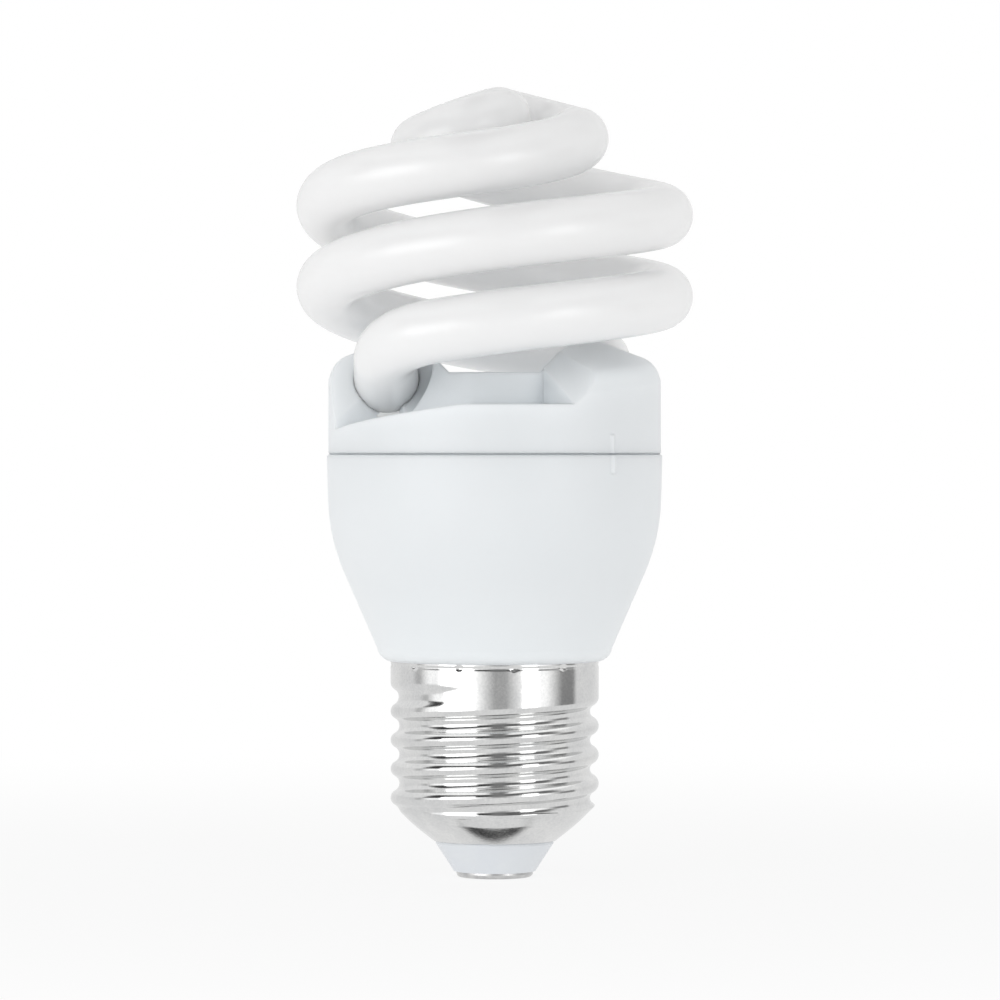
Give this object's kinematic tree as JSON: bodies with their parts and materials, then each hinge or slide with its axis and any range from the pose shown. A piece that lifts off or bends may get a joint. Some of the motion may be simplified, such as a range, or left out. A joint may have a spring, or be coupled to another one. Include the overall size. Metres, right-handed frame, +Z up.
{
  "type": "spiral_compact_fluorescent_lamp",
  "caption": "Self-ballasted spiral energy saving bulb with an opal double-helix tube, a white moulded base with a swirl cover and an E27 screw cap.",
  "frame": {"origin": "Centre of the flat lower face of the centre contact at the bottom of the screw cap.", "axes": "+Z runs up the lamp's axis from the cap to the crown of the spiral. -Y faces the viewer of the picture and +X is the viewer's right."},
  "size_m": [0.0498, 0.0498, 0.0993],
  "materials": {
    "opal_glass": "opal, phosphor-coated inside, glossy outside",
    "white_cover": "moulded white, satin",
    "white_housing": "moulded white, satin",
    "cap_metal": "rolled, bright nickel grey",
    "cap_insulator": "pale blue-grey, satin",
    "contact_metal": "pressed, bright",
    "cement": "matt, set",
    "board": "paper laminate, semi-matt",
    "capacitor_can": "dark printed sleeve, plain",
    "ferrite": "sintered, matt",
    "bobbin": "moulded, matt",
    "copper_wire": "enamelled copper, glossy",
    "sleeve": "shrunk sleeve, satin",
    "black_moulding": "moulded epoxy, matt",
    "film_capacitor": "dipped coat, glossy",
    "trigger_glass": "small glass bead, glossy",
    "resistor_coat": "lacquered body, satin",
    "fuse_coat": "lacquered body, satin",
    "tinned_metal": "tinned, bright",
    "wire_red": "insulated wire, satin",
    "wire_black": "insulated wire, satin"
  },
  "bodies": {
    "root": {"spiral_tube": "opal_glass", "tube_cover": "white_cover", "ballast_housing": "white_housing", "screw_shell": "cap_metal", "cap_insulator": "cap_insulator", "centre_contact": "contact_metal", "tube_cement": "cement", "circuit_board": "board", "smoothing_capacitor": "capacitor_can", "ballast_choke_core": "ferrite", "ballast_choke_bobbin": "bobbin", "ballast_choke_winding": "copper_wire", "drive_transformer_core": "ferrite", "drive_transformer_winding": "copper_wire", "filter_inductor": "sleeve", "switching_transistors": "black_moulding", "rectifier_diodes": "black_moulding", "resonant_capacitor": "film_capacitor", "blocking_capacitor": "film_capacitor", "trigger_diode": "trigger_glass", "resistors": "resistor_coat", "fuse_resistor": "fuse_coat", "wire_pins": "tinned_metal", "tube_lead_wires": "tinned_metal", "live_wire": "wire_red", "neutral_wire": "wire_black"}
  },
  "joints": []
}
